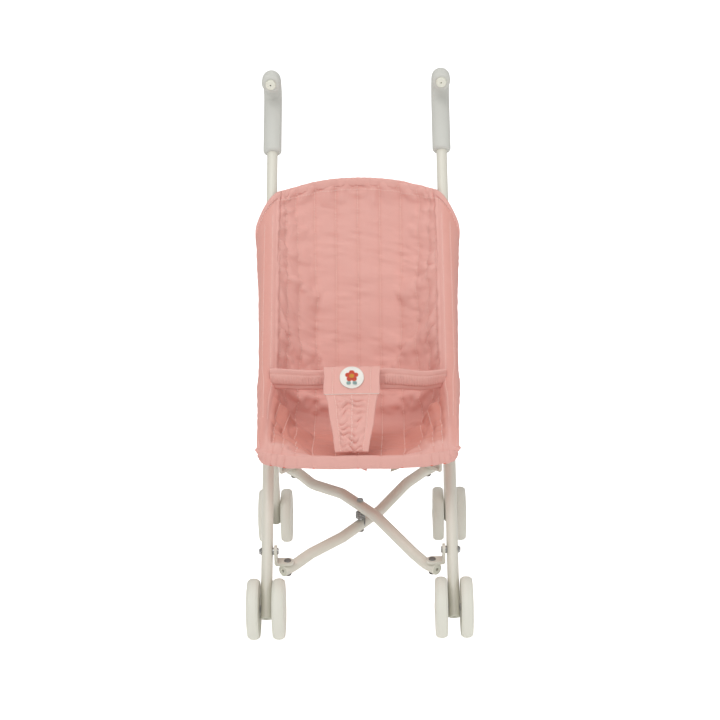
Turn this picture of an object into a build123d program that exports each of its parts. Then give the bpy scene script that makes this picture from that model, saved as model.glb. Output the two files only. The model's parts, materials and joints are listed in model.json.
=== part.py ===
"""Doll stroller: a free-standing umbrella-fold toy stroller with a fabric sling seat.

X runs to the viewer's right, Y to the back and Z up. The origin is on the floor, in the
middle of the whole object's width and depth. The frame stands open, locked, at rest.
"""
from build123d import *
from math import atan2, cos, degrees, hypot, radians, sin
import os

# ---------------------------------------------------------------- driving dimensions (mm)
tube_radius = 6.0           # every frame tube is the same steel tube
tube_wall = 1.0
tube_lean = 37.0            # long tubes, degrees back from upright
half_track = 95.8           # long tube axis from the middle plane
rear_splay = 5.5            # rear wheels stand this much further out than the long tubes
wheelbase = 256.0
foot_overhang = 9.5         # tube below each axle

wheel_radius = 31.25
wheel_width = 12.0
wheel_gap = 0.9             # between a leg tube and each wheel beside it
wheel_shoulder = 2.3        # chamfer at the tread's edges
hub_radius = 9.0
hub_dome = 1.1
tread_crown = 0.5

axle_radius = 2.0
axle_end_inset = 3.0        # axle ends this far inside the wheel's outer face
washer_radius = 4.0
washer_thickness = 0.6

handle_straight = 584.5     # along the long tube, from the front axle to the hook's bend
handle_bend_radius = 19.0
handle_turn = 143.0         # degrees, until the end points forward and slightly down
handle_stub = 12.0
grip_radius = 10.3
grip_length = 63.0          # straight part of the foam sleeve
grip_end_round = 3.5
plug_head = 2.0
plug_depth = 6.0
plug_hole_radius = 1.8
plug_rim = 0.8              # foot plug's rim under the tube's end

front_bracket_at = 60.3     # bracket bolt, along the long tube from the front axle
bolt_radius = 2.0
bolt_head_radius = 3.9
bolt_head_height = 2.2
bracket_thickness = 3.0
bracket_end_radius = 6.4
bracket_gap = 1.4           # spacer between a leg tube and its bracket
spacer_radius = 4.0
bend_outer_radius = 3.4     # bracket's bend, outside; the inside is a thickness less

brace_half_width = 75.0     # rivet from the middle plane, frame open
brace_half_length = 81.5    # rivet from the pivot pin, along the stroller
brace_tilt = 6.0            # brace plane, degrees up to the rear
brace_drop_front = 18.5     # tube ends below the middle of the pivot pin, front ...
brace_rise_rear = 13.5      # ... and above it, rear
front_bolt_up = 2.1         # front bracket bolt above the pin's middle
brace_end = 6.5             # tube past its rivet
brace_bend_radius = 34.0
brace_gap = 0.3             # between a tube and the bracket plate on it
rivet_radius = 2.0
rivet_head_radius = 3.8
rivet_head_height = 1.2
pin_seat = 0.8              # pin's heads clear of the sloping tubes

rear_pivot_at = 225.0       # top of the rear leg, along the long tube ...
rear_pivot_behind = 17.5    # ... and behind its axis
rear_leg_end = 7.5          # rear leg past its top pivot
rear_bracket_lead = 6.0     # rear bracket bolt ahead of its rivet
rear_corner_lead = 14.0     # bracket's bend ahead of its rivet

slider_thickness = 1.3
slider_side_gap = 0.5
slider_below = 11.0         # slider's ends from the rear leg's pivot, along the tube
slider_above = 38.0
slider_front = 5.6          # plates reach this far ahead of the tube's axis
slider_web_length = 13.0
slider_web_behind = 11.5    # web between the plates, behind the tube's axis
slider_corner = 3.0
slider_pin_radius = 1.5
slider_pin_below = 4.5      # pin from the slider's upper end

spring_wire_radius = 0.8
spring_coil_radius = 4.6
spring_turns = 4
spring_arm = 17.0

arm_bolt_at = 175.0         # seat arm bolt along the long tube
arm_thickness = 1.7
arm_radius = 6.0
arm_gap = 0.3

cloth = 3.0                 # padded fabric
cloth_inside = 10.5         # side of the sling inside the tube's axis
cloth_ahead = 9.5           # fabric wrapped ahead of the tube's axis
cloth_wrap = 10.0           # and out past it
sling_bottom_at = 215.0     # along the long tube
sling_top_at = 462.0
sling_depth_bottom = 44.0   # back panel behind the tubes
sling_depth_top = 9.0
sling_arch = 18.0           # top edge rises in the middle
lip_behind_axle = 30.0      # front lip, behind the front axle
lip_height = 188.0
lip_radius = 5.0
lip_half_width = 103.0
flap_height = 11.0
pan_thickness = 4.0

belt_height = 21.0
belt_thickness = 3.0
belt_level = 244.0
belt_ahead = 104.0          # belt's middle behind the front axle
belt_bow = 33.0
crotch_shift = -6.0         # the strap is sewn a little to the left
crotch_top_width = 58.0
crotch_bottom_width = 34.0
crotch_thickness = 3.0
label_radius = 13.5
label_thickness = 1.2
tail_width = 9.0
tail_length = 13.0
tail_thickness = 1.2
tail_side = 41.0            # strap tail's distance right of the middle

running = 0.05              # radial clearance of anything that turns
snug = 0.02                 # and of anything that is fastened

# ---------------------------------------------------------------- derived places
lean_sin, lean_cos = sin(radians(tube_lean)), cos(radians(tube_lean))
rearmost = handle_straight * lean_sin + handle_bend_radius * (1 - lean_cos) + grip_radius
front_axle_y = (wheel_radius - rearmost) / 2
axle_z = wheel_radius


def beside_tube(along, behind=0.0):
    """(Y, Z) at a distance along the long tube from the front axle, and behind its axis."""
    return (front_axle_y + along * lean_sin + behind * lean_cos,
            axle_z + along * lean_cos - behind * lean_sin)


front_bolt = beside_tube(front_bracket_at)
tilt_sin, tilt_cos = sin(radians(brace_tilt)), cos(radians(brace_tilt))
pin_y = front_bolt[0] + brace_half_length * tilt_cos + front_bolt_up * tilt_sin
pin_z = front_bolt[1] + brace_half_length * tilt_sin - front_bolt_up * tilt_cos


def on_brace(back, up):
    """(Y, Z) at a distance back along the brace plane from the pin, and above it."""
    return (pin_y + back * tilt_cos - up * tilt_sin, pin_z + back * tilt_sin + up * tilt_cos)


half_link = hypot(brace_half_width, brace_half_length)

rear_axle_y = front_axle_y + wheelbase
rear_pivot = beside_tube(rear_pivot_at, rear_pivot_behind)
leg_lean = degrees(atan2(rear_axle_y - rear_pivot[0], rear_pivot[1] - axle_z))

# The rear bracket's bolt is where the line square to the brace plane, ahead of the rivet,
# crosses the rear leg.
under_bolt = on_brace(brace_half_length - rear_bracket_lead, 0)
leg_way = (-sin(radians(leg_lean)), cos(radians(leg_lean)))
rear_bolt_up = (((rear_axle_y - under_bolt[0]) * leg_way[1] - (axle_z - under_bolt[1]) * leg_way[0])
                / (-tilt_sin * leg_way[1] - tilt_cos * leg_way[0]))
rear_bolt = on_brace(brace_half_length - rear_bracket_lead, rear_bolt_up)


def leg_offset(z):
    """How far out of the middle plane the splayed rear leg's axis is at a height."""
    return half_track + rear_splay * (rear_pivot[1] - z) / (rear_pivot[1] - axle_z)


plate_front = -brace_drop_front + tube_radius + brace_gap     # underside of the plates
plate_rear = brace_rise_rear + tube_radius + brace_gap
bolt_plane_front = half_track - tube_radius - bracket_gap     # outer face of the straps
bolt_plane_rear = leg_offset(rear_bolt[1]) - tube_radius - bracket_gap

os.makedirs("parts", exist_ok=True)
sides = (("left", -1), ("right", 1))


def save(builder, name):
    """Label a finished piece and write it."""
    builder.part.label = name
    export_step(builder.part, f"parts/{name}.step")


def across(x, y, z):
    """A place whose local Z points along X."""
    return Location((x, y, z), (0, 90, 0))


# ---------------------------------------------------------------- long tubes and grips
def hook_path(x, start, end_trim=0.0):
    """The long tube's axis from a distance along it, round the hook, to its end."""
    plane = Plane.YZ.offset(x)
    first = beside_tube(start)
    bend = beside_tube(handle_straight)
    with BuildLine(plane) as path:
        Line(first, bend)
        hook = JernArc(start=bend, tangent=(lean_sin, lean_cos), radius=handle_bend_radius,
                       arc_size=handle_turn)
        Line(hook @ 1, hook @ 1 + (hook % 1) * (handle_stub - end_trim))
    return path.line


def ring_on(path, outer, inner):
    """A ring across a path's start."""
    with BuildSketch(Plane(origin=path @ 0, z_dir=path % 0)) as ring:
        Circle(outer)
        if inner:
            Circle(inner, mode=Mode.SUBTRACT)
    return ring.sketch


grip_start = handle_straight - grip_length
for side, sign in sides:
    x = sign * half_track
    path = hook_path(x, -foot_overhang)
    with BuildPart() as long_tube:
        sweep(ring_on(path, tube_radius, tube_radius - tube_wall), path=path)
        for hole_at, hole_radius in ((0, axle_radius), (front_bracket_at, bolt_radius),
                                     (arm_bolt_at, bolt_radius)):
            with Locations(across(x, *beside_tube(hole_at))):
                Cylinder(hole_radius + snug, 3 * tube_radius, mode=Mode.SUBTRACT)
    save(long_tube, f"long_tube_{side}")

    grip_path = hook_path(x, grip_start, end_trim=0.5)
    with BuildPart() as grip:
        sweep(ring_on(grip_path, grip_radius, tube_radius + snug), path=grip_path)
        rims = grip.edges().filter_by(GeomType.CIRCLE)
        fillet(rims.filter_by(lambda rim: abs(rim.radius - grip_radius) < 0.01
                              and rim.length > 6 * grip_radius), grip_end_round)
    save(grip, f"grip_{side}")

    end, heading = path @ 1, path % 1
    with BuildPart() as grip_plug:
        with BuildSketch(Plane(origin=end, z_dir=heading)):
            Circle(tube_radius - 0.4)
        extrude(amount=plug_head)
        fillet(grip_plug.edges().sort_by(Axis(end, heading))[-1], plug_head * 0.4)
        with BuildSketch(Plane(origin=end, z_dir=heading)):
            Circle(tube_radius - tube_wall - snug)
        extrude(amount=-plug_depth)
        with BuildSketch(Plane(origin=end + heading * plug_head, z_dir=heading)):
            Circle(plug_hole_radius / 2)
        extrude(amount=-plug_depth, mode=Mode.SUBTRACT)
    save(grip_plug, f"grip_plug_{side}")

# ---------------------------------------------------------------- feet, axles and wheels
def foot_plug(name, start, heading):
    """Hollow plug pressed into a leg's lower end, flush with it but for a thin rim."""
    with BuildPart() as plug:
        with BuildSketch(Plane(origin=start, z_dir=heading)):
            Circle(tube_radius - tube_wall - snug)
            Circle(plug_hole_radius, mode=Mode.SUBTRACT)
        extrude(amount=plug_depth - plug_rim)
        with BuildSketch(Plane(origin=start, z_dir=heading)):
            Circle(tube_radius)
            Circle(plug_hole_radius, mode=Mode.SUBTRACT)
        extrude(amount=-plug_rim)
        fillet(plug.edges().sort_by(Axis(start, heading))[0:2], 0.4 * plug_rim)
    save(plug, name)


def axle(name, x, y):
    """One axle pin through a leg, with a washer against each side of the tube."""
    length = 2 * (tube_radius + wheel_gap + wheel_width - axle_end_inset)
    washer_inset = (wheel_gap - washer_thickness) / 2
    with BuildPart() as pin:
        with Locations(across(x, y, axle_z)):
            Cylinder(axle_radius, length)
        for out in (-1, 1):
            washer_x = x + out * (tube_radius + washer_inset)
            with BuildSketch(Plane(origin=(washer_x, y, axle_z), z_dir=(out, 0, 0))):
                Circle(washer_radius)
                Circle(axle_radius + snug, mode=Mode.SUBTRACT)
            extrude(amount=washer_thickness)
    save(pin, name)


def wheel(name, x, y, outward):
    """Solid wheel, domed hub on its outward face, blind bore from the tube's side."""
    half = wheel_width / 2
    facing = Plane(origin=(x, y, axle_z), x_dir=(0, 0, 1), z_dir=(outward, 0, 0))
    with BuildPart() as disc:
        with BuildSketch(facing * Plane.XZ):
            with BuildLine():
                rim = wheel_radius - tread_crown
                Polyline((0, -half), (wheel_radius - wheel_shoulder, -half),
                         (rim, -half + wheel_shoulder))
                ThreePointArc((rim, -half + wheel_shoulder), (wheel_radius, 0),
                              (rim, half - wheel_shoulder))
                Polyline((rim, half - wheel_shoulder), (wheel_radius - wheel_shoulder, half),
                         (hub_radius + 1.5, half))
                Spline((hub_radius + 1.5, half), (hub_radius * 0.55, half + hub_dome * 0.85),
                       (0, half + hub_dome), tangents=((-1, 0), (-1, 0)))
                Line((0, half + hub_dome), (0, -half))
            make_face()
        revolve(axis=Axis((x, y, axle_z), (1, 0, 0)))
        with BuildSketch(facing.offset(-half)):
            Circle(axle_radius + running)
        extrude(amount=wheel_width - axle_end_inset + 0.4, mode=Mode.SUBTRACT)
    save(disc, name)


wheel_offset = tube_radius + wheel_gap + wheel_width / 2
for side, sign in sides:
    foot = beside_tube(-foot_overhang)
    foot_plug(f"front_foot_plug_{side}", Vector(sign * half_track, *foot),
              Vector(0, lean_sin, lean_cos))
    for row, x, y in (("front", sign * half_track, front_axle_y),
                      ("rear", sign * (half_track + rear_splay), rear_axle_y)):
        axle(f"{row}_axle_{side}", x, y)
        for place, out in (("outer", sign), ("inner", -sign)):
            wheel(f"{row}_wheel_{side}_{place}", x + out * wheel_offset, y, out)

# ---------------------------------------------------------------- rear legs
for side, sign in sides:
    top = Vector(sign * half_track, *rear_pivot)
    bottom = Vector(sign * (half_track + rear_splay), rear_axle_y, axle_z)
    heading = (top - bottom).normalized()
    start = bottom - heading * foot_overhang
    length = (top - start).length + rear_leg_end
    bolt_x = sign * leg_offset(rear_bolt[1])
    with BuildPart() as rear_leg:
        with BuildSketch(Plane(origin=start, z_dir=heading)):
            Circle(tube_radius)
            Circle(tube_radius - tube_wall, mode=Mode.SUBTRACT)
        extrude(amount=length)
        for hole_x, hole_yz, hole_radius in ((bottom.X, (rear_axle_y, axle_z), axle_radius),
                                             (top.X, rear_pivot, bolt_radius),
                                             (bolt_x, rear_bolt, bolt_radius)):
            with Locations(across(hole_x, *hole_yz)):
                Cylinder(hole_radius + snug, 3 * tube_radius, mode=Mode.SUBTRACT)
    save(rear_leg, f"rear_leg_{side}")
    foot_plug(f"rear_foot_plug_{side}", start, heading)

# ---------------------------------------------------------------- brackets
def hull_of(*circles):
    """Fill a sketch with the outline round several circles, each (x, y, radius)."""
    for cx, cy, radius in circles:
        with Locations((cx, cy)):
            Circle(radius)
    make_hull()


def brace_side(x):
    """Plane square to X: local x runs back along the brace plane, local y up from it."""
    return Plane(origin=(x, pin_y, pin_z), x_dir=(0, tilt_cos, tilt_sin), z_dir=(1, 0, 0))


def brace_level(up):
    """Plane along the braces at a height: local x is X, local y runs back."""
    return Plane(origin=(0, *on_brace(0, up)), x_dir=(1, 0, 0), z_dir=(0, -tilt_sin, tilt_cos))


def bracket(name, sign, strap_face, bolt_place, corner_back, rivet_back, plate):
    """L-bracket: a strap on the leg's inner side, bent inwards over the brace's end.

    strap_face is the strap's outer face; bolt_place is the bolt's (back, up) from the pin.
    """
    radius = bracket_end_radius
    rivet_x = sign * brace_half_width
    with BuildPart() as piece:
        with BuildSketch(brace_side(sign * strap_face)):
            hull_of((*bolt_place, radius), (corner_back, plate + radius, radius))
            with Locations((corner_back, plate + radius / 2)):
                Rectangle(2 * radius, radius)
        extrude(amount=-sign * bracket_thickness)
        with BuildSketch(brace_level(plate)):
            with Locations((rivet_x, rivet_back)):
                Circle(radius)
            with Locations((sign * (strap_face - bracket_thickness / 2), corner_back)):
                Rectangle(0.5, 2 * radius)
            make_hull()
        extrude(amount=bracket_thickness)
        for depth, fillet_radius in ((0, bend_outer_radius),
                                     (bracket_thickness, bend_outer_radius - bracket_thickness + 1)):
            bend_x = sign * (strap_face - depth)
            bend = Vector(bend_x, *on_brace(corner_back, plate + depth))
            fillet(piece.edges().sort_by(lambda edge: (edge.center() - bend).length)[0],
                   fillet_radius)
        with Locations(across(sign * strap_face, *on_brace(*bolt_place))):
            Cylinder(bolt_radius + running, 4 * bracket_thickness, mode=Mode.SUBTRACT)
        with BuildSketch(brace_level(plate)):
            with Locations((rivet_x, rivet_back)):
                Circle(rivet_radius + running)
        extrude(amount=bracket_thickness, mode=Mode.SUBTRACT)
    save(piece, name)


for side, sign in sides:
    bracket(f"front_bracket_{side}", sign, bolt_plane_front,
            (-brace_half_length, front_bolt_up), -brace_half_length, -brace_half_length,
            plate_front)
    bracket(f"rear_bracket_{side}", sign, bolt_plane_rear,
            (brace_half_length - rear_bracket_lead, rear_bolt_up),
            brace_half_length - rear_corner_lead, brace_half_length, plate_rear)

# ---------------------------------------------------------------- cross brace
# Each brace is one bent tube: (distance back from the pin along the brace, height), drawn
# for a rivet 110.8 from the pin and stretched to where the rivets are.
drawn_half_link = 110.8
brace_outlines = {
    "low": ((103, brace_rise_rear), (75, 10.0), (31, -6.8), (-28.5, -15.2), (-77, -14.9),
            (-102, -brace_drop_front)),
    "high": ((101, brace_rise_rear), (79, 8.6), (29, 15.3), (-25, 8.3), (-82, -13.3),
             (-101, -brace_drop_front)),
}


def height_at_pin(outline):
    """Where a brace's axis passes the pin."""
    ahead = max(point for point in outline if point[0] < 0)
    behind = min(point for point in outline if point[0] > 0)
    share = -ahead[0] / (behind[0] - ahead[0])
    return ahead[1] + share * (behind[1] - ahead[1])


for level, turn in (("low", 1), ("high", -1)):
    back = Vector(turn * brace_half_width, brace_half_length * tilt_cos,
                  brace_half_length * tilt_sin).normalized()
    up = Vector(0, -tilt_sin, tilt_cos)
    middle = Vector(0, pin_y, pin_z)
    stretch = half_link / drawn_half_link
    outline = [(q * stretch, height) for q, height in brace_outlines[level]]
    outline = ([(half_link + brace_end, brace_rise_rear)] + outline
               + [(-half_link - brace_end, -brace_drop_front)])
    with BuildLine(Plane(origin=middle, x_dir=back, z_dir=back.cross(up))) as axis:
        FilletPolyline(*outline, radius=brace_bend_radius)
    ends = ((axis.line @ 0, axis.line % 0 * -1), (axis.line @ 1, axis.line % 1))
    with BuildPart() as brace:
        sweep(ring_on(axis.line, tube_radius, tube_radius - tube_wall), path=axis.line)
        for q, radius in ((-half_link, rivet_radius + snug), (half_link, rivet_radius + snug),
                          (0, rivet_radius + (running if level == "high" else snug))):
            with BuildSketch(Plane(origin=middle + back * q, z_dir=up)):
                Circle(radius)
            extrude(amount=6 * tube_radius, both=True, mode=Mode.SUBTRACT)
    save(brace, f"brace_{level}")

    with BuildPart() as plugs:
        for end, outward in ends:
            with BuildSketch(Plane(origin=end, z_dir=outward)):
                Circle(tube_radius)
                Circle(plug_hole_radius, mode=Mode.SUBTRACT)
            extrude(amount=plug_rim)
            with BuildSketch(Plane(origin=end, z_dir=outward)):
                Circle(tube_radius - tube_wall - snug)
                Circle(plug_hole_radius, mode=Mode.SUBTRACT)
            extrude(amount=-(brace_end - rivet_radius - 1.2))
    save(plugs, f"brace_{level}_plugs")

    with BuildPart() as rivets:
        for q, height, plate in ((-half_link, -brace_drop_front, plate_front),
                                 (half_link, brace_rise_rear, plate_rear)):
            foot = middle + back * q + up * (height - tube_radius - 0.1)
            head = middle + back * q + up * (plate + bracket_thickness + 0.1)
            with BuildSketch(Plane(origin=foot, z_dir=up)):
                Circle(rivet_radius)
            extrude(amount=(head - foot).length)
            for place, toward in ((foot, -1), (head, 1)):
                with BuildSketch(Plane(origin=place, z_dir=up * toward)):
                    Circle(rivet_head_radius)
                extrude(amount=rivet_head_height, taper=28)
    save(rivets, f"brace_{level}_rivets")

low_height = height_at_pin(brace_outlines["low"])
high_height = height_at_pin(brace_outlines["high"])
with BuildPart() as pivot_pin:
    foot = middle + up * (low_height - tube_radius - pin_seat)
    head = middle + up * (high_height + tube_radius + pin_seat)
    with BuildSketch(Plane(origin=foot, z_dir=up)):
        Circle(rivet_radius)
    extrude(amount=(head - foot).length)
    for place, toward in ((foot, -1), (head, 1)):
        with BuildSketch(Plane(origin=place, z_dir=up * toward)):
            Circle(rivet_head_radius)
        extrude(amount=rivet_head_height, taper=28)
save(pivot_pin, "pivot_pin")

coil_room = high_height - low_height - 2 * tube_radius
coil_height = coil_room - 2 * spring_wire_radius - 2 * pin_seat
with BuildPart() as torsion_spring:
    base = middle + up * (low_height + tube_radius + spring_wire_radius + pin_seat)
    coil_plane = Plane(origin=base, x_dir=(1, 0, 0), z_dir=up)
    with BuildLine(coil_plane) as coil:
        Helix(pitch=coil_height / spring_turns, height=coil_height, radius=spring_coil_radius)
    with BuildSketch(Plane(origin=coil.line @ 0, z_dir=coil.line % 0)):
        Circle(spring_wire_radius)
    sweep(path=coil.line, is_frenet=True)
    for end, outward in ((coil.line @ 0, coil.line % 0 * -1), (coil.line @ 1, coil.line % 1)):
        with BuildSketch(Plane(origin=end, z_dir=outward)):
            Circle(spring_wire_radius)
        extrude(amount=spring_arm)
save(torsion_spring, "torsion_spring")

# ---------------------------------------------------------------- bolts and spacers
def disc_at(place, direction, radius):
    """A round face across a direction."""
    with BuildSketch(Plane(origin=place, z_dir=direction)) as face:
        Circle(radius)
    return face.sketch


def cross_bolt(outer_x, inner_x, place, sign):
    """A bolt along X with a domed head outside and a low nut inside."""
    outer, inner = (sign * outer_x, *place), (sign * inner_x, *place)
    extrude(disc_at(outer, (-sign, 0, 0), bolt_radius), amount=abs(outer_x - inner_x))
    extrude(disc_at(outer, (sign, 0, 0), bolt_head_radius), amount=bolt_head_height, taper=32)
    extrude(disc_at(inner, (-sign, 0, 0), bolt_head_radius - 0.6), amount=1.4)


arm_face = half_track - tube_radius - arm_gap
slider_inside = tube_radius + slider_side_gap
for side, sign in sides:
    with BuildPart() as frame_bolts:
        cross_bolt(half_track + tube_radius + 0.1, bolt_plane_front - bracket_thickness - 0.1,
                   front_bolt, sign)
        cross_bolt(half_track + tube_radius + 0.1, arm_face - arm_thickness - 0.1,
                   beside_tube(arm_bolt_at), sign)
    save(frame_bolts, f"frame_bolts_{side}")

    with BuildPart() as bracket_spacer:
        with BuildSketch(Plane(origin=(sign * (bolt_plane_front + 0.1), *front_bolt),
                               z_dir=(sign, 0, 0))):
            Circle(spacer_radius)
            Circle(bolt_radius + snug, mode=Mode.SUBTRACT)
        extrude(amount=bracket_gap - 0.2)
    save(bracket_spacer, f"bracket_spacer_{side}")

    with BuildPart() as rear_leg_bolts:
        cross_bolt(leg_offset(rear_bolt[1]) + tube_radius + 0.2,
                   bolt_plane_rear - bracket_thickness - 0.1, rear_bolt, sign)
        cross_bolt(half_track + slider_inside + slider_thickness + 0.1,
                   half_track - slider_inside - slider_thickness - 0.1, rear_pivot, sign)
    save(rear_leg_bolts, f"rear_leg_bolts_{side}")

# ---------------------------------------------------------------- sliders
def tube_side(x):
    """Plane square to X: local x runs up the long tube, local y ahead of it."""
    return Plane(origin=(x, *beside_tube(0)), x_dir=(0, lean_sin, lean_cos), z_dir=(1, 0, 0))


slider_low = rear_pivot_at - slider_below
slider_high = rear_pivot_at + slider_above
pin_place = (slider_high - slider_pin_below, slider_web_behind + 0.8)
for side, sign in sides:
    with BuildPart() as slider:
        for face in (-slider_inside - slider_thickness, slider_inside):
            with BuildSketch(tube_side(sign * half_track + face)):
                round_off = slider_corner
                hull_of((slider_low + round_off, slider_front - round_off, round_off),
                        (slider_high - round_off, slider_front - round_off, round_off),
                        (slider_high - round_off, round_off - 15.4, round_off),
                        (rear_pivot_at, -rear_pivot_behind, tube_radius + 0.6),
                        (slider_low + round_off, -8.0, round_off))
            extrude(amount=slider_thickness)
        with BuildSketch(Plane(origin=(sign * half_track, *beside_tube(0, slider_web_behind)),
                               x_dir=(0, lean_sin, lean_cos), z_dir=(0, lean_cos, -lean_sin))):
            with Locations((slider_high - 9.5 - slider_web_length / 2, 0)):
                Rectangle(slider_web_length, 2 * slider_inside + 0.2)
        extrude(amount=slider_thickness)
        with Locations(across(sign * half_track, *rear_pivot)):
            Cylinder(bolt_radius + running, 4 * slider_inside, mode=Mode.SUBTRACT)
        with Locations(across(sign * half_track, *beside_tube(*pin_place))):
            Cylinder(slider_pin_radius + snug, 4 * slider_inside, mode=Mode.SUBTRACT)
    save(slider, f"slider_{side}")

    with BuildPart() as slider_pin:
        pin_yz = beside_tube(*pin_place)
        half = slider_inside + slider_thickness + 0.1
        with Locations(across(sign * half_track, *pin_yz)):
            Cylinder(slider_pin_radius, 2 * half)
        for out in (-1, 1):
            with BuildSketch(Plane(origin=(sign * half_track + out * half, *pin_yz),
                                   z_dir=(out, 0, 0))):
                Circle(slider_pin_radius + 1.1)
            extrude(amount=0.9, taper=25)
    save(slider_pin, f"slider_pin_{side}")

# ---------------------------------------------------------------- seat arms
lip_place = (front_axle_y + lip_behind_axle, lip_height)
for side, sign in sides:
    bolt_yz = beside_tube(arm_bolt_at)
    front_yz = (lip_place[0] + lip_radius + arm_radius + 2.5, lip_height - 2.0)
    with BuildPart() as seat_arm:
        with BuildSketch(Plane.YZ.offset(sign * arm_face)):
            hull_of((*bolt_yz, arm_radius), (*front_yz, arm_radius))
            with Locations(bolt_yz):
                Circle(bolt_radius + snug, mode=Mode.SUBTRACT)
        extrude(amount=-sign * arm_thickness)
    save(seat_arm, f"seat_arm_{side}")

# ---------------------------------------------------------------- sling
side_x = half_track - cloth_inside


def thickened(points, thickness):
    """Closed outline of an open run of points given a thickness."""
    faces = ([], [])
    for i, (px, py) in enumerate(points):
        before, after = points[max(i - 1, 0)], points[min(i + 1, len(points) - 1)]
        normals = []
        for (ax, ay), (bx, by) in ((before, (px, py)), ((px, py), after)):
            run = hypot(bx - ax, by - ay)
            if run:
                normals.append((-(by - ay) / run, (bx - ax) / run))
        nx, ny = (sum(n[k] for n in normals) / len(normals) for k in (0, 1))
        scale = thickness / 2 / (nx * nx + ny * ny)
        faces[0].append((px + nx * scale, py + ny * scale))
        faces[1].append((px - nx * scale, py - ny * scale))
    return faces[0] + faces[1][::-1]


def sling_section(along, depth):
    """Cross-section of the sling square to the long tubes."""
    half = [(0.55 * side_x, 0.97 * depth), (side_x - 8, 0.62 * depth), (side_x, 0.15 * depth),
            (side_x, -cloth_ahead), (half_track + cloth_wrap, -cloth_ahead)]
    run = [(-x, behind) for x, behind in reversed(half)] + [(0, depth)] + half
    plane = Plane(origin=(0, *beside_tube(along)), x_dir=(1, 0, 0),
                  z_dir=(0, lean_sin, lean_cos))
    with BuildSketch(plane) as section:
        with BuildLine():
            Polyline(*thickened(run, cloth), close=True)
        make_face()
    return section.sketch


crease = beside_tube(sling_bottom_at, sling_depth_bottom)
shoulder = beside_tube(sling_bottom_at, -cloth_ahead)
roof = sling_top_at + sling_arch
with BuildPart() as seat_sling:
    loft([sling_section(sling_bottom_at, sling_depth_bottom),
          sling_section(roof + 4, sling_depth_top)], ruled=True)
    with BuildSketch(Plane(origin=(0, *beside_tube(0)), x_dir=(1, 0, 0),
                           z_dir=(0, -lean_cos, lean_sin))):
        reach = half_track + cloth_wrap + cloth
        with BuildLine():
            ThreePointArc((-reach, sling_top_at), (0, roof), (reach, sling_top_at))
            Polyline((reach, sling_top_at), (reach, roof + 20), (-reach, roof + 20),
                     (-reach, sling_top_at))
        make_face()
    extrude(amount=3 * sling_depth_bottom, both=True, mode=Mode.SUBTRACT)
    with BuildSketch(Plane.YZ.offset(-side_x)):
        hull_of((*lip_place, pan_thickness / 2), (*crease, pan_thickness / 2))
    extrude(amount=2 * side_x)
    for sign in (-1, 1):
        with BuildSketch(Plane.YZ.offset(sign * (side_x - cloth / 2))):
            hull_of((*lip_place, 2), (*crease, 2), (*shoulder, 2))
        extrude(amount=sign * cloth)
    with Locations(across(0, *lip_place)):
        Cylinder(lip_radius, 2 * lip_half_width)
    with Locations((0, lip_place[0], lip_height - flap_height / 2)):
        Box(2 * (lip_half_width - 8), cloth, flap_height)
save(seat_sling, "seat_sling")

# ---------------------------------------------------------------- belt, strap and label
belt_middle_y = front_axle_y + belt_ahead
with BuildPart() as waist_belt:
    with BuildSketch(Plane.XY.offset(belt_level - belt_height / 2)):
        belt_end = side_x - cloth / 2 - 0.3
        with BuildLine():
            for thickness in (0, belt_thickness):
                ThreePointArc((-belt_end, belt_middle_y + belt_bow + thickness),
                              (0, belt_middle_y + thickness),
                              (belt_end, belt_middle_y + belt_bow + thickness))
            for end in (-1, 1):
                Line((end * belt_end, belt_middle_y + belt_bow),
                     (end * belt_end, belt_middle_y + belt_bow + belt_thickness))
        make_face()
    extrude(amount=belt_height)
save(waist_belt, "waist_belt")

strap_low = Vector(crotch_shift, front_axle_y + 47.0, lip_height + 2.0)
strap_high = Vector(crotch_shift, belt_middle_y - crotch_thickness - 0.8, belt_level + 12.5)
strap_run = (strap_high - strap_low).length
strap_up = (strap_high - strap_low).normalized()
strap_face = Plane(origin=strap_low, x_dir=(1, 0, 0), z_dir=Vector(1, 0, 0).cross(strap_up))
block = strap_run - 26.0
with BuildPart() as crotch_strap:
    with BuildSketch(strap_face):
        with BuildLine():
            Polyline((-crotch_bottom_width / 2, 0), (-0.36 * crotch_top_width, block),
                     (-crotch_top_width / 2, block + 1), (-crotch_top_width / 2, strap_run),
                     (crotch_top_width / 2, strap_run), (crotch_top_width / 2, block + 1),
                     (0.36 * crotch_top_width, block), (crotch_bottom_width / 2, 0),
                     close=True)
        make_face()
    extrude(amount=crotch_thickness)
save(crotch_strap, "crotch_strap")

with BuildPart() as round_label:
    with BuildSketch(strap_face.offset(crotch_thickness)):
        with Locations((0, strap_run - 13.0)):
            Circle(label_radius)
    extrude(amount=label_thickness)
save(round_label, "round_label")

with BuildPart() as strap_tail:
    with Locations((tail_side, lip_place[0] + 12.0, lip_height - 10 - tail_length / 2)):
        Box(tail_width, tail_thickness, tail_length)
save(strap_tail, "strap_tail")
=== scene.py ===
import json
from math import cos, pi, radians, sin

import bmesh
import bpy
import numpy as np
from mathutils import Matrix, Vector


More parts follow.
